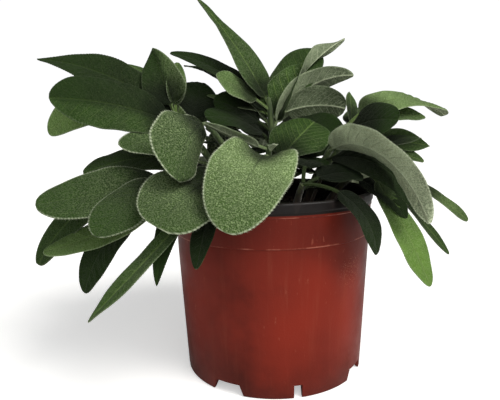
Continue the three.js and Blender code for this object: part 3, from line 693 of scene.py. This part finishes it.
# A leaf is the nine values below, as in the CAD, then its kind and its tone, from a dark leaf
# at 0 to a pale one at 0.8 and a fresh one at 1; the tone holds the leaf's own colour and painted
# shade too, so leaves deep inside the bush are painted nearly black. A twelfth value is a nap of
# its
# own, and a thirteenth is painted light: how much lighter its left half is drawn, as if lit from
# that side, or its right half where it is below 0.
leafLabels = ("place", "heading", "rise", "droop", "swing", "length", "width", "roll", "twist")
stems = {
    "sage_front": {"foot": [0, -12], "tip": [-3, -24, 146], "leaves": [
        [0.75, 262, 15, 70, -20, 92, 46, -5, -25, "heart", 0.8],
        [0.56, 30, 45, 20, 22, 51, 40, 16, 8, "oval", 0.42, 0.05],
        [0.9, 210, 19, -5, 0, 46, 13, 20, -10, "slim", 0.5],
        [0.85, 300, 40, 20, 0, 10, 6, 0, 0, "young", 0.9],
        [0.5, 5, 32, 50, 0, 39, 24, 15, 0, "oval", 0.2],
        [0.45, 240, 30, 50, 0, 36, 22, 0, 0, "oval", 0.05]]},
    "sage_middle": {"foot": [4, 10], "tip": [-1, 12, 176], "leaves": [
        [0.9, 161, 64, 17, 0, 89, 26, -25, 0, "spear", 0.4],
        [0.66, 22, 68, 42, 0, 85, 33, 34, -185, "furl", 0.5],
        [0.7, 40, 68, 38, 0, 70, 33, 20, 10, "oval", 0.32, 0.2],
        [0.62, 14, 69, 72, -4, 74, 25, -48, 0, "slim", 0.5],
        [0.85, 198, 38, 14, 5, 43, 23, -45, 0, "oval", 0.7],
        [0.76, 6, 29, 45, 0, 53, 28, -62, 0, "oval", 0.32, 0.2],
        [0.75, 168, 56, 45, -5, 87, 24, -25, 0, "slim", 0.1],
        [0.65, 156, 62, 55, 0, 84, 17, -15, 0, "slim", 0.4],
        [0.5, 205, 52, 60, 0, 54, 30, -30, 0, "oval", 0],
        [0.62, 184, 45, 30, 0, 45, 28, -45, 0, "oval", 0.05],
        [0.8, 168, 24, 12, 0, 46, 14, -30, 0, "slim", 0.6],
        [0.45, 120, 45, 50, 0, 66, 30, 0, 0, "oval", 0.3],
        [0.3, 14, 40, 45, 0, 34, 26, 20, 0, "oval", 0],
        [0.3, 205, 30, 40, 0, 32, 24, -20, 0, "oval", 0],
        [0.35, 60, 35, 50, 0, 62, 30, 10, 0, "oval", 0.2],
        [0.42, 355, 38, 45, 0, 50, 34, 60, 0, "oval", 0.05]]},
    "sage_near_left": {"foot": [-12, -8], "tip": [-40, -28, 159.5], "leaves": [
        [0.97, 256, 6, 70, 0, 61, 39, -62, -4, "hood", 0.53],
        [0.7, 60, 30, 60, 0, 36, 22, 0, 0, "oval", 0.1]]},
    "sage_left": {"foot": [-26, 4], "tip": [-62, -2, 164], "leaves": [
        [0.8, 80, 55, 20, 0, 48, 30, 20, 0, "oval", 0],
        [0.85, 206, 25, 25, 5, 84, 39, -53, -5, "oval", 0.15, 0.25, 0.17],
        [0.82, 176, 47, 42, 0, 110, 29, -45, 0, "dart", 0.15],
        [1, 140, 72, 14, -8, 49, 33, -45, -25, "keel", 0.16, 0.5, -0.45],
        [0.6, 180, 60, 108, -10, 121, 27, -65, -20, "strap", 0.9],
        [0.9, 146, 66, 54, 0, 68, 12, -18, 0, "slim", 0.5],
        [0.98, 91, 81, 43, 0, 44, 14, 20, 0, "slim", 0.6],
        [0.55, 222, 21, 30, 5, 63, 23, -25, -15, "strap", 0.5, 0.8],
        [0.4, 198, 22, 46, 0, 84, 34, -28, 5, "oval", 0.3],
        [0.3, 258, 21, 103, -21, 112, 16, -30, 0, "slim", 0.1]]},
    "sage_outer_left": {"foot": [-34, -14], "tip": [-58, -30, 130], "leaves": [
        [1, 201, -14, -8, -5, 80, 35, -48, 10, "oval", 0.35, 0.75],
        [0.95, 234, -7, 32, 0, 68, 32, -10, -10, "oval", 0.3, 0.8],
        [0.8, 196, -38, -27, -5, 94, 22, -32, 0, "strap", 0.9],
        [0.9, 186, 1, 63, -12, 110, 20, -48, -20, "strap", 0.3],
        [0.65, 186, -9, 67, 12, 99, 27, -23, -15, "strap", 0.09]]},
    "sage_front_left": {"foot": [-24, -28], "tip": [-36, -45, 125], "leaves": [
        [1, 247, 4, 42, -8, 55, 46, -25, 4, "shield", 0.56],
        [1, 240, -33, 12, -46, 100, 14, -15, 0, "wand", 0.46],
        [0.85, 266, -14, 46, -13, 60, 14, 10, 10, "paddle", 0]]},
    "sage_right": {"foot": [22, 0], "tip": [50, -8, 158], "leaves": [
        [0.95, 11, 47, 85, 5, 77, 31, 50, -50, "oval", 0.82],
        [0.8, 330, 40, 50, 0, 40, 28, 50, 0, "oval", 0.05],
        [0.8, 358, 35, 47, 0, 57, 26, 22, 3, "slim", 0.6],
        [0.6, 287, 28, 100, 28, 102, 31, -22, -57, "slim", 0.83, 0.8],
        [0.5, 312, 20, 85, 0, 84, 28, 30, -10, "slim", 0],
        [0.35, 228, 25, 50, 0, 34, 20, 0, 0, "oval", 0.1],
        [0.3, 305, 24, 40, 0, 22, 18, 20, 0, "oval", 0]]},
    "sage_outer_right": {"foot": [34, -8], "tip": [62, -14, 134], "leaves": [
        [0.9, 302, -42, 20, 0, 84, 22, 5, -10, "strap", 0.93, 0.12],
        [1, 20, 50, 60, 0, 40, 20, 10, 0, "oval", 0.2],
        [0.6, 320, -6, 50, 0, 46, 22, 10, 0, "slim", 0.05]]},
    "sage_front_right": {"foot": [12, -34], "tip": [16, -44, 124], "leaves": [
        [0.95, 330, 8, 98, 8, 64, 21, 15, 0, "paddle", 0.05],
        [0.7, 60, 15, 40, 0, 34, 20, 10, 0, "oval", 0],
        [0.85, 20, 32, 50, 0, 42, 24, 20, 0, "oval", 0],
        [1, 78, 62, 70, 0, 27, 22, 10, 0, "oval", 0.05]]},
    "sage_back_right": {"foot": [28, 22], "tip": [58, 26, 150], "leaves": [
        [0.9, 348, 2, 15, 0, 56, 28, 25, 8, "slim", 0.4],
        [0.75, 337, 6, 30, 0, 58, 24, 28, 0, "slim", 0.5],
        [0.85, 348, -24, 18, 0, 100, 12, 27, 5, "stalked", 0.6],
        [0.8, 331, -36, 16, 0, 102, 9, 20, 0, "stalked", 0.3],
        [1, 85, 72, 30, 0, 36, 13, 45, 0, "slim", 0.5],
        [0.95, 60, 45, 55, 0, 64, 28, 0, 0, "oval", 0.4],
        [0.7, 80, 10, 55, 0, 68, 26, 0, 0, "slim", 0.2],
        [0.9, 120, 50, 50, 0, 36, 20, 0, 0, "oval", 0.3],
        [0.6, 30, 15, 50, 0, 62, 26, 0, 0, "oval", 0.2]]},
    "sage_back": {"foot": [2, 34], "tip": [4, 54, 156], "leaves": [
        [1, 80, 60, 50, 0, 62, 28, 0, 0, "oval", 0.5],
        [0.95, 135, 45, 60, 10, 68, 30, 10, 0, "oval", 0.6],
        [0.9, 20, 45, 50, 10, 56, 28, 0, 0, "oval", 0.3],
        [0.75, 95, 20, 55, 0, 78, 32, 0, 0, "oval", 0.4],
        [0.6, 58, 15, 60, 0, 62, 28, 0, 0, "slim", 0.2],
        [0.6, 135, 10, 50, 0, 52, 26, 0, 0, "slim", 0.3],
        [0.6, 235, 20, 40, 0, 30, 22, 0, 0, "oval", 0]]},
    "sage_back_left": {"foot": [-22, 24], "tip": [-46, 42, 150], "leaves": [
        [1, 120, 60, 45, 0, 56, 26, 0, 0, "oval", 0.5],
        [0.95, 172, 40, 55, -10, 74, 30, -10, 0, "oval", 0.2],
        [0.9, 70, 35, 50, 0, 52, 28, 0, 0, "oval", 0.4],
        [0.7, 150, 15, 55, 0, 84, 32, 0, 0, "oval", 0.5],
        [0.6, 110, 5, 50, 0, 70, 26, 0, 0, "slim", 0.3],
        [0.5, 190, 10, 55, 0, 70, 28, 0, 0, "oval", 0.1],
        [0.7, 270, 40, 50, 0, 30, 22, 0, 0, "oval", 0],
        [0.3, 246, 74, -10, 0, 38, 30, 8, 0, "oval", 0.05]]},
    "sage_rear": {"foot": [-6, 46], "tip": [-12, 66, 126], "leaves": [
        [1, 95, 10, 60, 0, 70, 32, 0, 0, "oval", 0.6],
        [0.9, 50, 0, 55, 0, 66, 28, 0, 0, "strap", 0.3],
        [0.85, 140, 0, 55, 0, 70, 28, 0, 0, "strap", 0.4],
        [0.95, 15, 16, 50, 0, 52, 24, 0, 0, "oval", 0.5]]},
    "sage_far_right": {"foot": [42, 16], "tip": [68, 34, 126], "leaves": [
        [1, 60, 0, 55, 0, 66, 28, 0, 0, "oval", 0.5],
        [0.85, 85, -5, 50, 0, 60, 24, 0, 0, "slim", 0.3],
        [0.95, 20, 10, 60, 0, 56, 24, 0, 0, "oval", 0.2],
        [0.8, 130, 30, 50, 0, 44, 22, 0, 0, "oval", 0.3]]},
}
# rootShare is how much of a stem's mesh is root, joint how much it swells where a leaf leaves it,
# and square how far it is from round.
stemForm = {"level": 102, "crown": 2, "root": 26, "foot": 2.5, "tip": 1.5, "lean": 0.35,
            "rise": 0.6, "rows": 90, "around": 16, "rootShare": 0.3, "capShare": 0.03,
            "joint": 0.12, "jointLong": 0.03, "square": 0.05}
blade = {
    "steps": 24, "row": 0.62, "around": (24, 64, 1.5), "crowd": 1.45,  # how fine the mesh is
    "thick": 0.7, "stalkThick": 1.9, "stalkWide": 2.4, "lens": 2.4,
    "rimThick": 0.25, "rimWide": 1.2, "ribWide": 0.75, "furrow": 0.35, "ridge": 0.75,
    "wave": 0.03, "waveTurn": 9, "waveLean": 2, "wavePhase": 2.4, "ripple": 0.03,
    "veins": 11, "veinGap": (3.2, 7), "veinSlant": 0.75, "veinBow": 0.012, "veinStray": 0.16,
    "puff": 0.3,  # how far the fields between the side veins stand out
    "softFold": (0.004, 0.12), "softNap": 0.4, "fullFold": 0.94,  # a felted leaf folds more softly
    "feltNap": 0.9, "tipFlat": 0.7, "tipFrom": 0.6, "tipOver": 0.3,  # and is flatter at its tip
    "lobePeak": 6.75, "lobeLift": 0.3,
}
bristle = {"nap": 0.6, "long": 0.75, "spread": (0.6, 1.2), "thick": 0.075, "tip": 0.01, "out": 0.4,
           "ahead": 0.35, "stray": 0.35, "seed": 9}


def stemPoint(stem, along):
    # the stem's curve, upright at the crown and leaning out to its tip; below 0 it is the root
    foot, tip = Vector((*stem["foot"], stemForm["level"] + stemForm["crown"])), Vector(stem["tip"])
    if along < 0:
        return foot + Vector((0, 0, along * (stemForm["root"] + stemForm["crown"])))
    bend = Vector((lerp(foot.x, tip.x, stemForm["lean"]), lerp(foot.y, tip.y, stemForm["lean"]),
                   lerp(foot.z, tip.z, stemForm["rise"])))
    return lerp(lerp(foot, bend, along), lerp(bend, tip, along), along)


def makeStem(bm, stem):
    # a ball drawn out along the stem's curve, with a joint where each leaf leaves it
    rows, root, cap = int(stemForm["rows"] * detail), stemForm["rootShare"], stemForm["capShare"]
    made = bmesh.ops.create_uvsphere(bm, u_segments=stemForm["around"], v_segments=rows,
                                     radius=1)["verts"]
    places = [row[0] for row in stem["leaves"]]
    for vert in made:
        share = 1 - math.acos(max(-1, min(1, vert.co.z))) / math.pi
        turn = math.atan2(vert.co.y, vert.co.x)
        along = lerp(-1, 0, share / root) if share < root else (share - root) / (1 - root)
        ahead = (stemPoint(stem, along + 0.01) - stemPoint(stem, along - 0.01)).normalized()
        front = Vector((0, 1, 0)).cross(ahead).normalized()
        side = ahead.cross(front)
        joints = sum(math.exp(-((along - place) / stemForm["jointLong"]) ** 2) for place in places)
        thick = lerp(stemForm["foot"], stemForm["tip"], max(0, along))
        thick *= 1 + stemForm["joint"] * joints
        thick *= 1 + stemForm["square"] * math.cos(4 * turn) * min(1, max(0, along) * 3)
        thick *= math.sqrt(max(0, 1 - max(0, (share - (1 - cap)) / cap) ** 2))
        point = stemPoint(stem, along) + (side * math.cos(turn) + front * math.sin(turn)) * thick
        vert.co = metres(point)
    for face in {face for vert in made for face in vert.link_faces}:
        face.material_index = 1


def outline(share, leaf):
    # half the blade's width as a share of its widest
    if share <= 0 or share >= 1:
        return 0
    if share < leaf["widest"]:
        return math.sqrt(1 - ((leaf["widest"] - share) / leaf["widest"]) ** 2)
    past = (share - leaf["widest"]) / (1 - leaf["widest"])
    hold, taper = 2.4 - 1.1 * leaf["point"], 0.5 + 0.45 * leaf["point"]  # a blunt tip stays wide
    return (1 - past ** hold) ** taper


def leafFrame(leaf, along):
    # ahead, to the left side and out of the face at a share of the leaf's length
    yaw = math.radians(leaf["heading"] + leaf["swing"] * along)
    pitch = math.radians(leaf["rise"] - leaf["droop"] * along)
    ahead = Vector((math.cos(pitch) * math.cos(yaw), math.cos(pitch) * math.sin(yaw),
                    math.sin(pitch)))
    side = Vector((-math.sin(yaw), math.cos(yaw), 0))
    roll = math.radians(leaf["roll"] + leaf["twist"] * along ** leaf["late"])
    side.rotate(Quaternion(ahead, roll))
    return ahead, side, ahead.cross(side)


def midrib(leaf, root):
    points = [root]
    for step in range(blade["steps"]):
        ahead = leafFrame(leaf, (step + 0.5) / blade["steps"])[0]
        points.append(points[-1] + ahead * leaf["length"] / blade["steps"])
    return points


def ribPoint(points, along):
    # smooth curve through the midrib's points
    at = min(max(along, 0), 0.9999) * (len(points) - 1)
    index, share = int(at), at - int(at)
    before = points[index - 1] if index else 2 * points[0] - points[1]
    after = points[index + 2] if index + 2 < len(points) else 2 * points[-1] - points[-2]
    a, b = points[index], points[index + 1]
    return 0.5 * (2 * a + (b - before) * share + (2 * before - 5 * a + 4 * b - after) * share ** 2
                  + (3 * a - before - 3 * b + after) * share ** 3)


def leafRings(leaf, root):
    # each ring of a leaf's mesh: its share of the blade, centre, three directions, half its width,
    # how flat it is from 0 on the stalk to 1 on the blade, and its thickness
    rows = max(24, int(leaf["length"] / blade["row"] * detail))
    points, stalk = midrib(leaf, root), leaf["stalk"] / leaf["length"]
    rings = []
    for ring in range(rows + 1):
        along = ring / rows
        share = (along - stalk) / (1 - stalk)
        wide = leaf["width"] * outline(share, leaf)
        narrow = blade["stalkWide"] * min(1, (1 - share) * 9)
        flat = min(1, max(0, share) * 14)
        thick = lerp(blade["stalkThick"], blade["thick"], flat)
        rings.append((share, ribPoint(points, along), *leafFrame(leaf, along),
                      max(wide, narrow) / 2, flat, thick))
    return rings


def bladeLift(leaf, share, across, down, half, flat):
    # how far the blade stands off its midrib, by its fold, curl, waves and puffed fields between
    # the side veins, and the count of side veins at a place on it
    if share <= 0:
        return 0, 0
    far, x = abs(across), half * abs(across)
    shift = Vector((leaf["number"] * 7.3, leaf["length"], leaf["heading"]))  # no two leaves alike
    crease = math.sqrt(across ** 2 + leaf["soft"]) - math.sqrt(leaf["soft"])
    crease *= blade["fullFold"] / (math.sqrt(1 + leaf["soft"]) - math.sqrt(leaf["soft"]))
    crease *= 1 - leaf["tipFlat"] * min(1, max(0, share - blade["tipFrom"]) / blade["tipOver"])
    lift = half * (math.sin(math.radians(leaf["fold"])) * crease - leaf["curl"] * across ** 2)
    sine = math.sin(blade["waveTurn"] * share + blade["waveLean"] * across
                    + blade["wavePhase"] * leaf["number"])
    lift += blade["wave"] * leaf["width"] * sine * across ** 2
    vein = (down - blade["veinSlant"] * x - blade["veinBow"] * x ** 2) / leaf["spacing"]
    vein += blade["veinStray"] * noise.noise(Vector((across * 2, share * 5, 0)) + shift)
    room = min(1, x / 3) * min(1, (half - x) / 3) * flat
    lift += blade["puff"] * room * -math.cos(2 * math.pi * vein)
    ripple = noise.noise(Vector((across * 1.5, down * 0.09, leaf["number"])) + shift)
    lift += blade["ripple"] * leaf["width"] * ripple * far
    return lift * flat, vein


def skinHeight(share, across, up, half, flat, thick):
    # the leaf's upper or lower face over its middle: thicker in the rim, with a furrow along the
    # midrib above and a ridge along it below
    plate = lerp(up, max(-1, min(1, up * blade["lens"])), flat)
    inset = half - half * abs(across)
    rim = 1 + blade["rimThick"] * max(0, 1 - inset / blade["rimWide"]) * flat
    rib = math.exp(-(half * across / blade["ribWide"]) ** 2) * flat * max(0, 1 - share) ** 0.6
    return plate * thick / 2 * rim + rib * (-blade["furrow"] if up > 0 else -blade["ridge"])


def makeLeafMesh(bm, leaf, root, layers):
    # a ball pressed flat and drawn out along the midrib, so that the leaf is closed all round
    rings, margin = leafRings(leaf, root), []
    rows = len(rings) - 1
    least, most, toWidth = blade["around"]
    around = 4 * int(max(least, min(most, leaf["width"] * toWidth)) * math.sqrt(detail) / 4)
    spread = math.cos(math.radians(leaf["fold"]))
    made = bmesh.ops.create_uvsphere(bm, u_segments=around, v_segments=rows, radius=1)["verts"]
    for vert in made:
        ring = round((1 - math.acos(max(-1, min(1, vert.co.z))) / math.pi) * rows)
        share, centre, ahead, side, face, half, flat, thick = rings[ring]
        turn = math.atan2(vert.co.y, vert.co.x)
        out, up = (0, 0) if ring in (0, rows) else (math.cos(turn), math.sin(turn))
        across = math.copysign(abs(out) ** lerp(1, blade["crowd"], flat), out)
        far, down = abs(across), share * (leaf["length"] - leaf["stalk"])
        bead = 0
        if share > 0.01:
            bead = leaf["teeth"] * abs(math.sin(math.pi * down / beadPitch)) * min(1, half)
        reach = half + bead * far ** 8
        lift, vein = bladeLift(leaf, share, across, down, half, flat)
        near = min(1, max(0, share / leaf["widest"]))
        lobe = leaf["lobe"] * blade["lobePeak"] * near * (1 - near) ** 2 * across ** 2
        point = centre + side * (reach * across * spread) - ahead * lobe
        point += face * (lift + skinHeight(share, across, up, half, flat, thick)
                         + blade["lobeLift"] * lobe)
        vert.co = metres(point)
        vert[layers["leafPlace"]] = Vector((half * across, down, half * (1 - far)))
        vert[layers["leafCast"]] = Vector((share, min(1, max(0, 0.5 + up * 6)), leaf["tone"]))
        vert[layers["leafVein"]] = vein + 0.5
        vert[layers["leafNap"]] = leaf["nap"]
        # painted light: how much lighter this half of the blade is drawn
        vert[layers["leafLitSide"]] = max(0, min(abs(leaf["half"]), 3 * leaf["half"] * across))
        if far > 0.999 and 0 < share < 0.99:
            margin.append((vert.co.copy(), side * out + ahead * bristle["ahead"]))
    return margin


def addBristles(fringe, roots, draw):
    # a fine three-sided spike on each point of a felted margin, leaning towards the leaf's tip
    for place, out in roots:
        length = bristle["long"] * draw.uniform(*bristle["spread"])
        made = bmesh.ops.create_cone(fringe, cap_ends=True, segments=3, depth=length * mm,
                                     radius1=bristle["thick"] * mm,
                                     radius2=bristle["tip"] * mm)["verts"]
        stray = Vector([draw.uniform(-1, 1) * bristle["stray"] for axis in range(3)])
        way = (out + stray).normalized()
        bmesh.ops.rotate(fringe, verts=made, matrix=way.to_track_quat("Z", "Y").to_matrix())
        bmesh.ops.translate(fringe, verts=made, vec=place + way * length * bristle["out"] * mm)


def readLeaf(row, number):
    # a row of the table, what its kind adds to it and what follows from both
    leaf = dict(zip(kindLabels, leafKinds[row[9]])) | dict(zip(leafLabels, row))
    leaf["number"], leaf["tone"] = number, row[10]
    leaf["nap"] = row[11] if len(row) > 11 else leaf["nap"]
    # painted light on one half of the blade
    leaf["half"] = row[12] if len(row) > 12 else 0
    least, most = blade["veinGap"]
    leaf["spacing"] = max(least, min(most, leaf["length"] / blade["veins"]))
    felted = max(0, leaf["nap"] - blade["softNap"]) / (1 - blade["softNap"])
    leaf["soft"] = lerp(*blade["softFold"], felted)
    leaf["tipFlat"] = blade["tipFlat"] if leaf["nap"] > blade["feltNap"] else 0
    return leaf


def makeSprig(node, stem):
    bm = bmesh.new()
    layers = {label: bm.verts.layers.float_vector.new(label) for label in ("leafPlace", "leafCast")}
    for label in ("leafVein", "leafNap", "leafLitSide"):
        layers[label] = bm.verts.layers.float.new(label)
    makeStem(bm, stem)
    fringe, draw = bmesh.new(), random.Random(bristle["seed"])
    for number, row in enumerate(stem["leaves"]):
        leaf = readLeaf(row, number)
        margin = makeLeafMesh(bm, leaf, stemPoint(stem, leaf["place"]), layers)
        if leaf["nap"] > bristle["nap"]:
            addBristles(fringe, margin, draw)
    for face in fringe.faces:
        face.material_index = 2
    spikes = bpy.data.meshes.new("spikes")
    fringe.to_mesh(spikes)
    fringe.free()
    bm.from_mesh(spikes)
    bpy.data.meshes.remove(spikes)
    finish(node.replace("sage", "sprig"), bm, [leafMaterial, bark, hair], node)


for node, stem in stems.items():
    makeSprig(node, stem)
